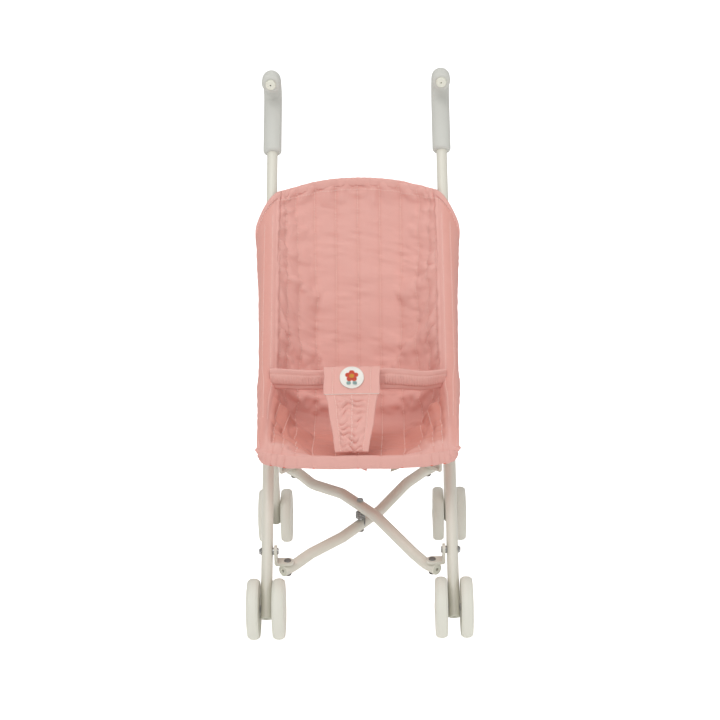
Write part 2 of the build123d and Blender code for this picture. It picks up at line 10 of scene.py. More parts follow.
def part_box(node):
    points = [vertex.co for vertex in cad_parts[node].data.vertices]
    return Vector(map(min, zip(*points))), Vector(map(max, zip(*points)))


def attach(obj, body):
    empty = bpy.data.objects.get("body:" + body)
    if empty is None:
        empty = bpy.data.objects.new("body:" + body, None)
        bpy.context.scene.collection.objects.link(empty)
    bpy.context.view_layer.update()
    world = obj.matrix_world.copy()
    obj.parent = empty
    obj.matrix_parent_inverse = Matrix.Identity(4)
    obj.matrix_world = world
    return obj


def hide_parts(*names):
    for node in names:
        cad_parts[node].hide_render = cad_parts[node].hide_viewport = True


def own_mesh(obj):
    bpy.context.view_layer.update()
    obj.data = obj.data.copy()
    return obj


bl_info = {
    "name": "Doll stroller",
    "version": (1, 0, 0),
    "blender": (4, 5, 0),
    "location": "3D View > Sidebar > Stroller",
    "description": "Dresses the doll stroller's frame: paint, metal, foam and its quilted sling",
    "category": "Object",
}

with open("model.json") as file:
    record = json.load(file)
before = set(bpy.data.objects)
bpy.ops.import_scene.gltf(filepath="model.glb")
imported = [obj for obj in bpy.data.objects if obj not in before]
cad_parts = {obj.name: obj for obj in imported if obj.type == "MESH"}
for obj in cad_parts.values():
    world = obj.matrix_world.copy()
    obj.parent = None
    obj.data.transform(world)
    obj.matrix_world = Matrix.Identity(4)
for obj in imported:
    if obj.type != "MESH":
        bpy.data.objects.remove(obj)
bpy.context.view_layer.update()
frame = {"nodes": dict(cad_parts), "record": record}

MM = 0.001
AXLE = [sum(pair) / 2 for pair in zip(*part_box("front_axle_left"))]
FRONT_Y, AXLE_Z, TUBE_X = AXLE[1] / MM, AXLE[2] / MM, abs(AXLE[0]) / MM
LEAN = radians(37.0)


# ------------------------------------------------------------------ settings
def colour(name, description, red, green, blue):
    """A colour setting, given as an artist reads it from 0 to 255."""
    def linear(level):
        share = level / 255
        return share / 12.92 if share < 0.04045 else ((share + 0.055) / 1.055) ** 2.4
    return bpy.props.FloatVectorProperty(
        name=name, description=description, subtype="COLOR", size=4, min=0, max=1,
        default=(linear(red), linear(green), linear(blue), 1.0))


def millimetres(name, description, value):
    return bpy.props.FloatProperty(name=name, description=description, default=value,
                                   min=0.0, unit="NONE")


class StrollerColours(bpy.types.PropertyGroup):
    paint: colour("Frame paint", "Powder coat of the steel tubes", 222, 219, 206)
    wheel: colour("Wheels", "Moulded wheels", 224, 223, 211)
    foam: colour("Foam", "Handle foam", 206, 206, 199)
    cap: colour("Caps", "Tube plugs and foot caps", 228, 228, 214)
    zinc: colour("Zinc", "Bolts, axles and spring", 178, 178, 176)
    rivet: colour("Rivets", "Dark rivets", 92, 90, 86)
    cloth: colour("Cloth", "Quilted cotton", 228, 173, 163)
    thread: colour("Thread", "Stitching", 249, 222, 213)
    label: colour("Label", "Round sewn label", 236, 233, 226)
    webbing: colour("Webbing", "Strap tail", 176, 170, 152)
    floor: colour("Floor", "Studio floor", 250, 250, 250)


class StrollerSizes(bpy.types.PropertyGroup):
    quilt_puff: millimetres("Quilt puff", "Half thickness between two stitched lines, mm", 2.0)
    seam_half: millimetres("Seam", "Half thickness at a stitched line, mm", 0.7)
    rumple: millimetres("Rumple", "Height of the cloth's small wrinkles, mm", 1.8)
    slack: bpy.props.FloatProperty(name="Slack", description="How much larger the cloth is cut",
                                   default=0.05, min=0, max=0.2, subtype="FACTOR")
    stitch_length: millimetres("Stitch", "Length of one stitch, mm", 1.7)
    stitch_pitch: millimetres("Stitch pitch", "From one stitch to the next, mm", 3.3)
    belt_width: millimetres("Belt", "Waist belt's width, mm", 21.5)
    label_radius: millimetres("Label radius", "Round label, mm", 12.6)


# ------------------------------------------------------------------ meshes
def tube_point(x, along, behind):
    """A place given along a long tube from the front axle and behind its axis, in mm."""
    return np.stack(np.broadcast_arrays(
        x, FRONT_Y + along * sin(LEAN) + behind * cos(LEAN),
        AXLE_Z + along * cos(LEAN) - behind * sin(LEAN)), -1).astype(float)


def mesh_piece(name, points, faces, material, closed=True):
    """A smooth mesh object from points in mm; a closed one gets its faces turned outwards."""
    mesh = bpy.data.meshes.new(name)
    mesh.from_pydata([tuple(p) for p in np.asarray(points, float).reshape(-1, 3) * MM], [],
                     [tuple(f) for f in faces])
    mesh.validate()
    if closed:
        work = bmesh.new()
        work.from_mesh(mesh)
        bmesh.ops.recalc_face_normals(work, faces=work.faces)
        work.to_mesh(mesh)
        work.free()
    piece = bpy.data.objects.new(name, mesh)
    bpy.context.scene.collection.objects.link(piece)
    if material:
        mesh.materials.append(material)
    mesh.shade_smooth()
    return piece


def grid_faces(rows, columns, first=0, flip=False):
    """Quads over a grid of points."""
    r, c = np.meshgrid(np.arange(rows - 1), np.arange(columns - 1), indexing="ij")
    a = first + (r * columns + c).ravel()
    quads = np.stack([a, a + 1, a + columns + 1, a + columns], 1)
    return (quads[:, ::-1] if flip else quads).tolist()


def normals_of(grid):
    """Unit normals of a grid of points, towards the sitter's side."""
    across, along = np.gradient(grid, axis=1), np.gradient(grid, axis=0)
    n = np.cross(across, along)
    return n / np.maximum(np.linalg.norm(n, axis=2, keepdims=True), 1e-9)


def cloth_piece(name, middle, half, material, seam_and_shade=None):
    """A closed soft sheet round a grid: half its thickness to each side, its edges closed; optional
    values per point go to an attribute of painted shade.
    """
    rows, columns = middle.shape[:2]
    n = normals_of(middle)
    edge = np.ones((rows, columns))
    edge[0], edge[-1], edge[:, 0], edge[:, -1] = 0.35, 0.35, 0.35, 0.35
    lift = n * (half * edge)[..., None]
    points = np.concatenate([(middle + lift).reshape(-1, 3), (middle - lift).reshape(-1, 3)])
    count = rows * columns
    faces = grid_faces(rows, columns) + grid_faces(rows, columns, count, flip=True)
    rim = ([c for c in range(columns)] + [r * columns + columns - 1 for r in range(1, rows)]
           + [(rows - 1) * columns + c for c in range(columns - 2, -1, -1)]
           + [r * columns for r in range(rows - 2, 0, -1)])
    for k, a in enumerate(rim):
        b = rim[(k + 1) % len(rim)]
        faces.append((a, a + count, b + count, b))
    piece = mesh_piece(name, points, faces, material)
    # Painted shade: these values darken the cloth's dye in the cotton_weave group.
    if seam_and_shade is not None:
        layer = piece.data.attributes.new("seam_and_shade", "FLOAT", "POINT")
        layer.data.foreach_set("value", np.tile(seam_and_shade.ravel(), 2).astype(np.float32))
    return piece


def through(points, at):
    """Smooth run through evenly numbered points, read at fractional numbers."""
    points = np.asarray(points, float)
    ends = (2 * points[:1] - points[1:2], points, 2 * points[-1:] - points[-2:-1])
    p = np.concatenate(ends)
    i = np.clip(np.floor(at).astype(int), 0, len(points) - 2)
    f = (at - i).reshape((-1,) + (1,) * (points.ndim - 1))
    a, b, c, d = p[i], p[i + 1], p[i + 2], p[i + 3]
    return 0.5 * (2 * b + (c - a) * f + (2 * a - 5 * b + 4 * c - d) * f ** 2
                  + (3 * b - a - 3 * c + d) * f ** 3)


def lattice(net, at_rows, at_columns):
    """A grid of points through a net of them."""
    rows = through(net, at_rows)
    return through(rows.swapaxes(0, 1), at_columns).swapaxes(0, 1)


def wander(a, b, seed):
    """Smooth random height from -1 to 1 over two coordinates."""
    table = np.random.RandomState(seed).uniform(-1, 1, (97, 97))
    i, j = np.floor(a).astype(int), np.floor(b).astype(int)
    fa, fb = a - i, b - j
    fa, fb = fa * fa * (3 - 2 * fa), fb * fb * (3 - 2 * fb)
    i0, i1, j0, j1 = i % 97, (i + 1) % 97, j % 97, (j + 1) % 97
    low = table[i0, j0] * (1 - fa) + table[i1, j0] * fa
    high = table[i0, j1] * (1 - fa) + table[i1, j1] * fa
    return low * (1 - fb) + high * fb


def bell(value, middle, width):
    """1 at the middle, falling off smoothly to both sides."""
    return np.exp(-((value - middle) / width) ** 2)


def rise(value, start, length):
    """0 up to start, then straight up to 1 over a length."""
    return np.clip((value - start) / length, 0, 1)


def fall(value, end, length):
    """1 until a length before end, then straight down to 0."""
    return np.clip((end - value) / length, 0, 1)


def steps(counts):
    """Fractional numbers that cut each interval of a net into its own number of steps."""
    cuts = [k + np.arange(n) / n for k, n in enumerate(counts)]
    return np.append(np.concatenate(cuts), float(len(counts)))


def tube_faces(rows, columns, flip=False):
    """Quads between closed outlines, one after another, and a cap on each end."""
    faces = []
    for r in range(rows - 1):
        for c in range(columns):
            a, b = r * columns + c, r * columns + (c + 1) % columns
            faces.append((a, b, b + columns, a + columns) if flip
                         else (a, a + columns, b + columns, b))
    first, last = tuple(range(columns)), tuple(range((rows - 1) * columns, rows * columns))
    return faces + ([first[::-1], last] if flip else [first, last[::-1]])


def swept(name, path, ring, material, up=(0, 0, 1)):
    """A closed solid of outlines, (side, up) in mm, one at each point of a path."""
    path = np.asarray(path, float)
    way = np.gradient(path, axis=0)
    way /= np.linalg.norm(way, axis=1, keepdims=True)
    side = np.cross(way, np.asarray(up, float))
    side /= np.linalg.norm(side, axis=1, keepdims=True)
    top = np.cross(side, way)
    grid = path[:, None] + side[:, None] * ring[..., :1] + top[:, None] * ring[..., 1:]
    return mesh_piece(name, grid, tube_faces(*grid.shape[:2]), material)


def soft(piece):
    """Rides on the left tube and closes up with the frame."""
    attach(piece, "left_frame")
    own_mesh(piece)
    return piece


# ------------------------------------------------------------------ shader groups
def group_of(name, inputs, outputs):
    """A shader group with named inputs (type, name, default) and outputs."""
    group = bpy.data.node_groups.new(name, "ShaderNodeTree")
    for kind, label, default in inputs:
        socket = group.interface.new_socket(label, in_out="INPUT", socket_type=kind)
        if default is not None:
            socket.default_value = default
    for kind, label in outputs:
        group.interface.new_socket(label, in_out="OUTPUT", socket_type=kind)
    return group, group.nodes.new("NodeGroupInput"), group.nodes.new("NodeGroupOutput")


def math_node(tree, operation, a, b=None, clamp=False):
    node = tree.nodes.new("ShaderNodeMath")
    node.operation, node.use_clamp = operation, clamp
    for socket, value in zip(node.inputs, (a, b)):
        if value is None:
            continue
        if isinstance(value, (int, float)):
            socket.default_value = value
        else:
            tree.links.new(value, socket)
    return node.outputs[0]


def noise_node(tree, scale, detail=3.0, stretch=(1, 1, 1), roughness=0.5):
    """Noise over Object coordinates, in features per metre, stretched per axis."""
    place = tree.nodes.new("ShaderNodeTexCoord")
    mapping = tree.nodes.new("ShaderNodeMapping")
    mapping.inputs["Scale"].default_value = stretch
    noise = tree.nodes.new("ShaderNodeTexNoise")
    noise.inputs["Detail"].default_value = detail
    noise.inputs["Roughness"].default_value = roughness
    tree.links.new(place.outputs["Object"], mapping.inputs["Vector"])
    tree.links.new(mapping.outputs[0], noise.inputs["Vector"])
    if isinstance(scale, (int, float)):
        noise.inputs["Scale"].default_value = scale
    else:
        tree.links.new(scale, noise.inputs["Scale"])
    return noise.outputs["Fac"]


def mix_colours(tree, factor, a, b):
    node = tree.nodes.new("ShaderNodeMix")
    node.data_type = "RGBA"
    for socket, value in ((node.inputs["Factor"], factor), (node.inputs[6], a),
                          (node.inputs[7], b)):
        if isinstance(value, bpy.types.NodeSocket):
            tree.links.new(value, socket)
        else:
            socket.default_value = value
    return node.outputs[2]


def make_weave_group():
    """Plain cotton weave: thread bump, mottled dye, and painted shade: the dye turned darker and
    more saturated where the mesh's shade attribute is high, and a little darker in the gaps between
    threads.
    """
    group, inn, out = group_of(
        "cotton_weave",
        [("NodeSocketColor", "Dye", (0.8, 0.4, 0.4, 1)),
         ("NodeSocketFloat", "Threads per metre", 1500.0),
         ("NodeSocketFloat", "Mottle", 0.10), ("NodeSocketFloat", "Seam shade", 0.25)],
        [("NodeSocketColor", "Colour"), ("NodeSocketFloat", "Height"),
         ("NodeSocketFloat", "Roughness")])
    links = group.links
    place = group.nodes.new("ShaderNodeTexCoord")
    waves = []
    for axis in ("X", "Z"):
        wave = group.nodes.new("ShaderNodeTexWave")
        wave.bands_direction = axis
        wave.inputs["Distortion"].default_value = 0.6
        wave.inputs["Detail"].default_value = 1.0
        wave.inputs["Detail Scale"].default_value = 2.0
        links.new(place.outputs["Object"], wave.inputs["Vector"])
        links.new(math_node(group, "DIVIDE", inn.outputs["Threads per metre"], 6.28318),
                  wave.inputs["Scale"])
        waves.append(wave.outputs["Fac"])
    threads = math_node(group, "MULTIPLY", waves[0], waves[1])
    slub = noise_node(group, 900.0, 2.0, (1, 1, 0.25))
    height = math_node(group, "ADD", threads, math_node(group, "MULTIPLY", slub, 0.8))
    links.new(height, out.inputs["Height"])
    patch = noise_node(group, 38.0, 4.0)
    # Painted shade: the mesh's shade attribute, times the Seam shade input, mixes the dye towards
    # its darker, more saturated copy.
    seam_and_shade = group.nodes.new("ShaderNodeAttribute")
    seam_and_shade.attribute_name = "seam_and_shade"
    shade = math_node(group, "MULTIPLY", seam_and_shade.outputs["Fac"], inn.outputs["Seam shade"])
    shade = math_node(group, "ADD", shade, math_node(
        group, "MULTIPLY", math_node(group, "SUBTRACT", patch, 0.38), inn.outputs["Mottle"]))
    # Painted shade between threads: the dye turns a little darker where the thread relief is low.
    shade = math_node(group, "ADD", shade, math_node(group, "MULTIPLY", threads, -0.04),
                      clamp=True)
    # The darker, more saturated copy of the dye that stands in for shade.
    painted_shade = group.nodes.new("ShaderNodeHueSaturation")
    painted_shade.inputs["Saturation"].default_value = 1.45
    painted_shade.inputs["Value"].default_value = 0.78
    links.new(inn.outputs["Dye"], painted_shade.inputs["Color"])
    links.new(mix_colours(group, shade, inn.outputs["Dye"], painted_shade.outputs[0]),
              out.inputs["Colour"])
    links.new(math_node(group, "ADD", math_node(group, "MULTIPLY", slub, 0.12), 0.82),
              out.inputs["Roughness"])
    return group


def make_surface_group():
    """Coat or moulding: fine texture, faint dirt, and wear where edges turn."""
    group, inn, out = group_of(
        "surface_finish",
        [("NodeSocketColor", "Colour", (0.8, 0.8, 0.8, 1)),
         ("NodeSocketColor", "Worn colour", (0.5, 0.5, 0.5, 1)),
         ("NodeSocketFloat", "Grain per metre", 900.0), ("NodeSocketFloat", "Mottle", 0.06),
         ("NodeSocketFloat", "Wear", 0.2), ("NodeSocketFloat", "Roughness", 0.45)],
        [("NodeSocketColor", "Colour"), ("NodeSocketFloat", "Height"),
         ("NodeSocketFloat", "Roughness")])
    links = group.links
    grain = noise_node(group, inn.outputs["Grain per metre"], 2.0)
    patch = noise_node(group, 22.0, 5.0)
    edge = group.nodes.new("ShaderNodeNewGeometry")
    sharp = math_node(group, "MULTIPLY",
                      math_node(group, "SUBTRACT", edge.outputs["Pointiness"], 0.53), 9.0, True)
    worn = math_node(group, "MULTIPLY", sharp, inn.outputs["Wear"], True)
    mottled = math_node(group, "MULTIPLY", math_node(group, "SUBTRACT", patch, 0.4),
                        inn.outputs["Mottle"], True)
    links.new(mix_colours(group, math_node(group, "ADD", worn, mottled, True),
                          inn.outputs["Colour"], inn.outputs["Worn colour"]),
              out.inputs["Colour"])
    links.new(grain, out.inputs["Height"])
    rough = math_node(group, "ADD", inn.outputs["Roughness"],
                      math_node(group, "MULTIPLY", math_node(group, "SUBTRACT", patch, 0.5),
                                0.18), True)
    links.new(rough, out.inputs["Roughness"])
    return group


def material_with(name, group, values, bump, distance, **fixed):
    """A Principled material fed by one of the groups; fixed sockets are set directly."""
    material = bpy.data.materials.new(name)
    material.use_nodes = True
    tree = material.node_tree
    shader = tree.nodes["Principled BSDF"]
    node = tree.nodes.new("ShaderNodeGroup")
    node.node_tree = group
    for label, value in values.items():
        node.inputs[label].default_value = value
    tree.links.new(node.outputs["Colour"], shader.inputs["Base Color"])
    tree.links.new(node.outputs["Roughness"], shader.inputs["Roughness"])
    relief = tree.nodes.new("ShaderNodeBump")
    relief.inputs["Strength"].default_value = bump
    relief.inputs["Distance"].default_value = distance
    tree.links.new(node.outputs["Height"], relief.inputs["Height"])
    tree.links.new(relief.outputs[0], shader.inputs["Normal"])
    for label, value in fixed.items():
        shader.inputs[label.replace("_", " ")].default_value = value
    return material


def finishes():
    """Every material of the stroller, made once."""
    found = bpy.data.materials
    if "powder_coat" in found:
        return {m.name: m for m in found}
    c = bpy.context.scene.stroller_colours
    weave, surface = make_weave_group(), make_surface_group()

    def coat(name, shade, worn, grain, bump, roughness, mottle=0.06, wear=0.2, **fixed):
        return material_with(name, surface, {
            "Colour": shade, "Worn colour": worn, "Grain per metre": grain,
            "Roughness": roughness, "Mottle": mottle, "Wear": wear}, bump, 0.0002, **fixed)

    def dim(shade, by):
        return tuple(v * by for v in shade[:3]) + (1.0,)

    coat("powder_coat", c.paint, dim(c.paint, 0.72), 2600.0, 0.10, 0.40,
         Coat_Weight=0.15, Coat_Roughness=0.3)
    coat("wheel_plastic", c.wheel, dim(c.wheel, 0.7), 1800.0, 0.12, 0.55, mottle=0.12)
    coat("cap_plastic", c.cap, dim(c.cap, 0.75), 1500.0, 0.08, 0.38)
    coat("zinc_plate", c.zinc, dim(c.zinc, 0.5), 3000.0, 0.15, 0.32, mottle=0.4, Metallic=1.0)
    coat("dark_steel", c.rivet, dim(c.rivet, 0.4), 3000.0, 0.15, 0.4, mottle=0.4, Metallic=0.9)
    coat("handle_foam", c.foam, dim(c.foam, 0.8), 1500.0, 0.8, 0.9, mottle=0.25, wear=0.0)
    # Seam shade sets how strongly the mesh's painted shade darkens the cloth.
    def woven(name, dye, threads, mottle, seam_and_shade, bump, distance, **fixed):
        material_with(name, weave, {"Dye": dye, "Threads per metre": threads, "Mottle": mottle,
                                    "Seam shade": seam_and_shade}, bump, distance, **fixed)

    soft_shine = {"Sheen_Weight": 0.12, "Sheen_Roughness": 0.5}
    woven("pink_cotton", c.cloth, 1500.0, 0.16, 0.26, 0.28, 0.0003, **soft_shine)
    woven("pink_binding", dim(c.cloth, 0.97), 1700.0, 0.12, 0.2, 0.25, 0.0003, **soft_shine)
    woven("thread", c.thread, 2600.0, 0.05, 0.0, 0.2, 0.0002)
    woven("label_cloth", c.label, 1900.0, 0.06, 0.1, 0.35, 0.0003)
    woven("webbing_weave", c.webbing, 900.0, 0.15, 0.1, 0.6, 0.0004)
    for name, dye in (("coral", (0.73, 0.12, 0.07, 1)), ("mustard", (0.75, 0.40, 0.06, 1)),
                      ("teal", (0.36, 0.50, 0.48, 1))):
        woven(f"{name}_thread", dye, 2600.0, 0.05, 0.0, 0.4, 0.0002)
    return {m.name: m for m in found}


# ------------------------------------------------------------------ stitches
def stitch_tree():
    """Geometry Nodes: one rounded stitch at every pitch along every line of a mesh."""
    tree = bpy.data.node_groups.get("stitch_rows")
    if tree:
        return tree
    tree = bpy.data.node_groups.new("stitch_rows", "GeometryNodeTree")
    face = tree.interface
    face.new_socket("Lines", in_out="INPUT", socket_type="NodeSocketGeometry")
    for label, value in (("Pitch", 0.0034), ("Length", 0.0021), ("Thickness", 0.0006)):
        face.new_socket(label, in_out="INPUT", socket_type="NodeSocketFloat").default_value = value
    face.new_socket("Thread", in_out="INPUT", socket_type="NodeSocketMaterial")
    face.new_socket("Stitches", in_out="OUTPUT", socket_type="NodeSocketGeometry")
    new, link = tree.nodes.new, tree.links.new
    inn, out = new("NodeGroupInput"), new("NodeGroupOutput")
    curve, even = new("GeometryNodeMeshToCurve"), new("GeometryNodeResampleCurve")
    even.mode = "LENGTH"
    ball, scale = new("GeometryNodeMeshUVSphere"), new("ShaderNodeCombineXYZ")
    ball.inputs["Segments"].default_value = 6
    ball.inputs["Rings"].default_value = 4
    ball.inputs["Radius"].default_value = 0.5
    tangent, turn = new("GeometryNodeInputTangent"), new("FunctionNodeAlignRotationToVector")
    turn.axis = "X"
    place, real = new("GeometryNodeInstanceOnPoints"), new("GeometryNodeRealizeInstances")
    smooth, paint = new("GeometryNodeSetShadeSmooth"), new("GeometryNodeSetMaterial")
    link(inn.outputs["Lines"], curve.inputs[0])
    link(curve.outputs[0], even.inputs["Curve"])
    link(inn.outputs["Pitch"], even.inputs["Length"])
    link(even.outputs[0], place.inputs["Points"])
    link(ball.outputs[0], place.inputs["Instance"])
    link(tangent.outputs[0], turn.inputs["Vector"])
    link(turn.outputs[0], place.inputs["Rotation"])
    link(inn.outputs["Length"], scale.inputs[0])
    link(inn.outputs["Thickness"], scale.inputs[1])
    link(inn.outputs["Thickness"], scale.inputs[2])
    link(scale.outputs[0], place.inputs["Scale"])
    link(place.outputs[0], real.inputs[0])
    link(real.outputs[0], smooth.inputs[0])
    link(smooth.outputs[0], paint.inputs[0])
    link(inn.outputs["Thread"], paint.inputs["Material"])
    link(paint.outputs[0], out.inputs[0])
    return tree


def stitched(name, lines, material, pitch=None, length=None, thickness=0.9):
    """A mesh of stitches that follow lines of points in mm."""
    s = bpy.context.scene.stroller_sizes
    points, edges = [], []
    for line in lines:
        first = len(points)
        points += [tuple(p * MM) for p in line]
        edges += [(first + k, first + k + 1) for k in range(len(line) - 1)]
    mesh = bpy.data.meshes.new(name + "_lines")
    mesh.from_pydata(points, edges, [])
    source = bpy.data.objects.new(name + "_lines", mesh)
    bpy.context.scene.collection.objects.link(source)
    tree = stitch_tree()
    modifier = source.modifiers.new("stitches", "NODES")
    modifier.node_group = tree
    keys = {item.name: item.identifier for item in tree.interface.items_tree
            if item.in_out == "INPUT"}
    modifier[keys["Pitch"]] = (pitch or s.stitch_pitch) * MM
    modifier[keys["Length"]] = (length or s.stitch_length) * MM
    modifier[keys["Thickness"]] = thickness * MM
    modifier[keys["Thread"]] = material
    graph = bpy.context.evaluated_depsgraph_get()
    graph.update()
    made = bpy.data.meshes.new_from_object(source.evaluated_get(graph))
    bpy.data.objects.remove(source)
    piece = bpy.data.objects.new(name, made)
    bpy.context.scene.collection.objects.link(piece)
    return soft(piece)


# ------------------------------------------------------------------ the sling's shape
def mirrored(half):
    """A row of points on both sides of the middle."""
    other = half[:0:-1].copy()
    other[:, 0] *= -1
    return np.concatenate([other, half])


def front_row(xs, ys, zs):
    """Half a row of the seat, y behind the front axle."""
    xs = np.array(xs, float)
    ys = np.interp(np.arange(11), np.linspace(0, 10, len(ys)), ys)
    return np.stack([xs, FRONT_Y + ys, np.array(zs, float)], 1)


def sling_net():
    """Net of points that the sling's cloth passes through, flap first, top edge last."""
    rows = [
        front_row((0, 22, 44, 60, 71, 78, 83, 87, 90, 92.5, 94.5), (28, 28, 28, 31),
                  (173.5, 173.6, 174, 174.8, 175.8, 177, 178, 179.4, 181, 183, 185.5)),
        front_row((0, 22.5, 45, 62, 74, 82, 87.5, 92, 95.5, 98, 100.3), (24.3, 24.5, 25, 29.5),
                  (180, 180, 180.4, 181, 182, 183, 184, 185, 186.4, 187.8, 189.2)),
        front_row((0, 23, 46, 64, 77, 86, 92, 96.5, 100, 102.5, 104.2), (28, 28, 29, 33),
                  (185, 185, 185.5, 186.6, 188, 189.2, 190, 190.8, 191.4, 191.8, 192)),
        front_row((0, 23, 46, 64, 77, 86, 91.5, 96, 99, 101, 102.2), (36, 36, 36, 36),
                  (182, 182, 182.8, 186.2, 191, 193.5, 193.5, 192.8, 192.2, 191.8, 191.6)),
        front_row((0, 23, 46, 64, 77, 86, 92, 96, 99, 101, 102), (52, 52, 52, 47),
                  (181, 181, 182.2, 187, 193.6, 198, 200, 200.5, 200, 199, 197)),
        front_row((0, 23, 47, 67, 79, 87, 92.5, 96.5, 99.7, 102, 102.7), (80, 80, 80, 74),
                  (179.5, 179.5, 180.3, 184.5, 192, 200.5, 207.5, 211, 211.5, 209.5, 205.5)),
        front_row((0, 24, 47, 68, 79.5, 86.5, 92, 97, 101, 104, 104.8), (124, 123, 110, 108),
                  (178, 178, 179.5, 185.5, 197, 209, 219, 223.5, 224, 221, 215)),
    ]
    crease_ys = (166, 165.5, 162, 154, 146, 138.5, 133, 130, 130.5, 133, 137)
    crease_zs = (177.5, 177.6, 179.6, 188, 201, 215, 226, 232, 232.5, 229.5, 225)
    crease = np.stack([np.array((0, 24, 47, 68, 79.5, 86, 90, 96, 102, 106, 106.6)),
                       FRONT_Y + np.array(crease_ys), np.array(crease_zs)], 1)
    rows.append(crease)
    start = ((crease[:, 1] - FRONT_Y) * sin(LEAN) + (crease[:, 2] - AXLE_Z) * cos(LEAN))
    top = np.array((488, 487, 484, 478.5, 474, 470, 467, 459, 447, 431, 417.0))
    for share in (0.11, 0.27, 0.44, 0.61, 0.77, 0.9, 1.0):
        t = start + (top - start) * share
        depth = np.interp(t, (215, 330, 420, 488), (44, 31, 18, -1))
        outer = np.interp(t, (236, 290, 340, 385, 430, 470),
                          (105.8, 106.4, 107.2, 109.6, 111.8, 111))
        inner = np.interp(t, (236, 300, 470), (-10.5, -9.5, -8.5))
        x = np.array((0, 24, 47, 67.5, 79.5, 86, 90.5, 97, 104, 0, 0))
        x[9:] = outer[9:] - np.array((1.0, 0.0))
        wall = np.array((1, 0.99, 0.92, 0.74, 0.44, 0.14, 0, 0, 0, 0, 0))
        b = depth * wall
        b[3:7] += (inner[3:7] + 0.5) * np.array((0.12, 0.4, 0.8, 1.0))
        b[7:] = inner[7:] + np.array((-1.5, 0.5, 6.5, 12.5))
        rows.append(tube_point(x, t, b))
    return np.stack([mirrored(row) for row in rows])


MIDDLE, CREASE = 10, 6      # net column of the middle, and columns from it to the tube crease
TOP_ROW = 14.0
LONGEST_SAG = 7.0           # mm
SIDE_STEPS = (12, 12, 12, 11, 9, 8, 6, 6, 6, 4)
ROW_STEPS = (7, 8, 7, 9, 14, 20, 20, 16, 24, 26, 26, 26, 22, 16)


def drape(grid, held, slack):
    """Lets the cloth settle between the points that hold it, and gives the moved points."""
    rows, columns = grid.shape[:2]
    piece = mesh_piece("settling", grid, grid_faces(rows, columns), None, closed=False)
    group = piece.vertex_groups.new(name="held")
    for index, weight in enumerate(held.ravel()):
        if weight > 0:
            group.add([index], float(weight), "REPLACE")
    cloth = piece.modifiers.new("cloth", "CLOTH")
    settings = cloth.settings
    settings.quality = 6
    settings.mass = 0.15
    settings.tension_stiffness = settings.compression_stiffness = 14
    settings.shear_stiffness = 6
    settings.bending_stiffness = 0.35
    settings.vertex_group_mass = "held"
    settings.shrink_min = -slack
    settings.effector_weights.gravity = 0.35
    cloth.collision_settings.use_collision = False
    scene = bpy.context.scene
    for moment in range(1, 25):
        scene.frame_set(moment)
    graph = bpy.context.evaluated_depsgraph_get()
    settled = piece.evaluated_get(graph).data
    points = np.zeros(rows * columns * 3, np.float32)
    settled.vertices.foreach_get("co", points)
    scene.frame_set(1)
    bpy.data.objects.remove(piece)
    return points.reshape(rows, columns, 3).astype(float) / MM


class Sling:
    """The finished middle surface of the sling, shared by the pieces sewn to it."""
    grid = normal = half = columns = rows = None

    @classmethod
    def on(cls, row, column, lift=0.0):
        """Points on the sitter's side at fractional net rows and columns (0 is the middle)."""
        row, column = np.broadcast_arrays(np.asarray(row, float), np.asarray(column, float))
        i = np.interp(row, cls.rows, np.arange(len(cls.rows)))
        j = np.interp(column, cls.columns, np.arange(len(cls.columns)))
        i0 = np.clip(np.floor(i).astype(int), 0, len(cls.rows) - 2)
        j0 = np.clip(np.floor(j).astype(int), 0, len(cls.columns) - 2)
        fi, fj = (i - i0)[..., None], (j - j0)[..., None]

        def read(a):
            return ((a[i0, j0] * (1 - fi) + a[i0 + 1, j0] * fi) * (1 - fj)
                    + (a[i0, j0 + 1] * (1 - fi) + a[i0 + 1, j0 + 1] * fi) * fj)
        skin = cls.grid + cls.normal * cls.half[..., None]
        return read(skin) + read(cls.normal) * lift


def settled(net, grid, rows, columns, slack):
    """A fine grid, moved as a coarse copy of the cloth moves when it is draped."""
    side = steps([4] * 6 + [2] * 4)
    coarse_columns = np.concatenate([-side[:0:-1], side])
    coarse_rows = steps((2, 3, 3, 3, 5, 6, 6, 5, 7, 7, 7, 7, 6, 5))
    coarse = lattice(net, coarse_rows, coarse_columns + MIDDLE)
    held = np.zeros(coarse.shape[:2])
    held[:, np.abs(coarse_columns) >= 5.9] = 1
    held[coarse_rows <= 3.1] = 1
    held[coarse_rows >= 13.85] = 1
    moved = drape(coarse, held, slack) - coarse
    length = np.linalg.norm(moved, axis=2, keepdims=True)
    moved *= LONGEST_SAG / np.maximum(length, LONGEST_SAG)
    moved *= fall(np.abs(coarse_columns), 5.9, 1.3)[None, :, None]
    at_rows = np.interp(rows, coarse_rows, np.arange(len(coarse_rows)))
    at_columns = np.interp(columns, coarse_columns, np.arange(len(coarse_columns)))
    return grid + lattice(moved, at_rows, at_columns)


